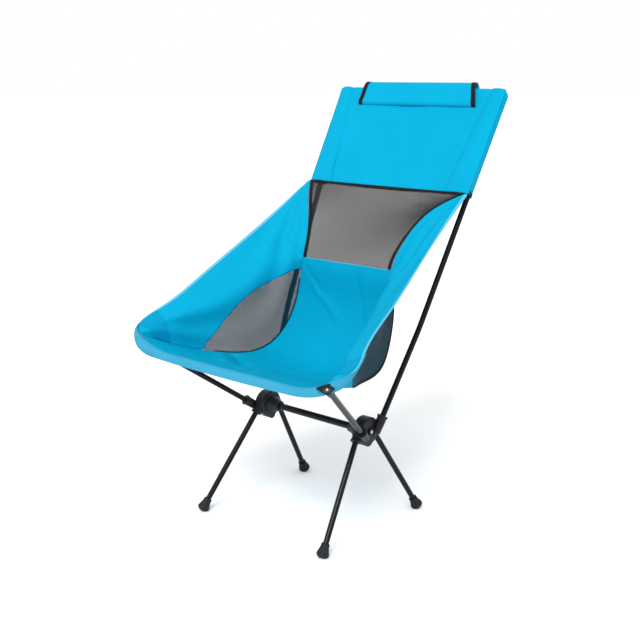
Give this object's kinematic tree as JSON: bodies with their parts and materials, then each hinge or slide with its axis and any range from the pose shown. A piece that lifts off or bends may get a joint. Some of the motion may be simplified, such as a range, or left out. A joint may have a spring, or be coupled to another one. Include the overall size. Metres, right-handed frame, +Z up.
{
  "type": "folding camp chair",
  "caption": "High-back folding camp chair: a sewn fabric sling with mesh windows hangs on shock-corded tubular poles that plug into two moulded hubs joined by a crossbar.",
  "frame": {"origin": "on the floor, under the middle of the chair's bounding box", "axes": "+Z up, the sitter looks along -Y, +X is the sitter's left"},
  "size_m": [0.634, 0.6894, 0.9799],
  "materials": {
    "tube": "black anodised, satin",
    "alloy": "plain drawn tube",
    "steel": "plated",
    "hub": "fine moulded grain",
    "moulding": "moulded",
    "plastic": "moulded",
    "rubber": "matt",
    "cord": "braided elastic cord",
    "cloth": "woven polyester",
    "mesh": "open net",
    "binding": "woven tape"
  },
  "bodies": {
    "frame": {"left_hub": "hub", "right_hub": "hub", "crossbar": "tube", "crossbar_end_plugs": "plastic", "hub_screws": "steel", "corner_rivets": "steel", "left_front_leg_shock_cord": "cord", "right_front_leg_shock_cord": "cord", "left_rear_leg_shock_cord": "cord", "right_rear_leg_shock_cord": "cord", "left_front_pole": "tube", "right_front_pole": "tube", "left_back_pole_lower": "tube", "right_back_pole_lower": "tube", "left_back_pole_upper": "tube", "right_back_pole_upper": "tube", "left_back_pole_ferrule": "alloy", "right_back_pole_ferrule": "alloy", "left_front_pole_tip": "plastic", "right_front_pole_tip": "plastic", "left_back_pole_tip": "plastic", "right_back_pole_tip": "plastic", "left_front_pole_shock_cord": "cord", "right_front_pole_shock_cord": "cord", "left_back_pole_shock_cord": "cord", "right_back_pole_shock_cord": "cord", "seat_panel": "cloth", "upper_back_panel": "cloth", "front_hem": "cloth", "headrest_sleeve": "cloth", "left_side_wing": "cloth", "right_side_wing": "cloth", "left_pole_sleeve": "cloth", "right_pole_sleeve": "cloth", "left_corner_patch": "cloth", "right_corner_patch": "cloth", "back_mesh": "mesh", "left_side_mesh": "mesh", "right_side_mesh": "mesh", "back_mesh_side_bindings": "binding", "back_mesh_top_binding": "binding", "headrest_end_bindings": "binding", "left_side_mesh_binding": "binding", "right_side_mesh_binding": "binding", "left_corner_socket": "moulding", "right_corner_socket": "moulding"},
    "left_front_leg": {"left_front_leg": "tube", "left_front_foot": "rubber", "left_front_leg_cord_plug": "plastic"},
    "right_front_leg": {"right_front_leg": "tube", "right_front_foot": "rubber", "right_front_leg_cord_plug": "plastic"},
    "left_rear_leg": {"left_rear_leg": "tube", "left_rear_foot": "rubber", "left_rear_leg_cord_plug": "plastic"},
    "right_rear_leg": {"right_rear_leg": "tube", "right_rear_foot": "rubber", "right_rear_leg_cord_plug": "plastic"}
  },
  "joints": [
    {"name": "left_front_leg_pull", "type": "slide", "parent": "frame", "child": "left_front_leg", "axis": [0.1262, -0.5783, -0.806], "range_m": [0, 0.05], "stiffness_N_per_m": 150, "springref_m": -0.1},
    {"name": "right_front_leg_pull", "type": "slide", "parent": "frame", "child": "right_front_leg", "axis": [-0.1262, -0.5783, -0.806], "range_m": [0, 0.05], "stiffness_N_per_m": 150, "springref_m": -0.1},
    {"name": "left_rear_leg_pull", "type": "slide", "parent": "frame", "child": "left_rear_leg", "axis": [0.1268, 0.5184, -0.8457], "range_m": [0, 0.05], "stiffness_N_per_m": 150, "springref_m": -0.1},
    {"name": "right_rear_leg_pull", "type": "slide", "parent": "frame", "child": "right_rear_leg", "axis": [-0.1268, 0.5184, -0.8457], "range_m": [0, 0.05], "stiffness_N_per_m": 150, "springref_m": -0.1}
  ]
}
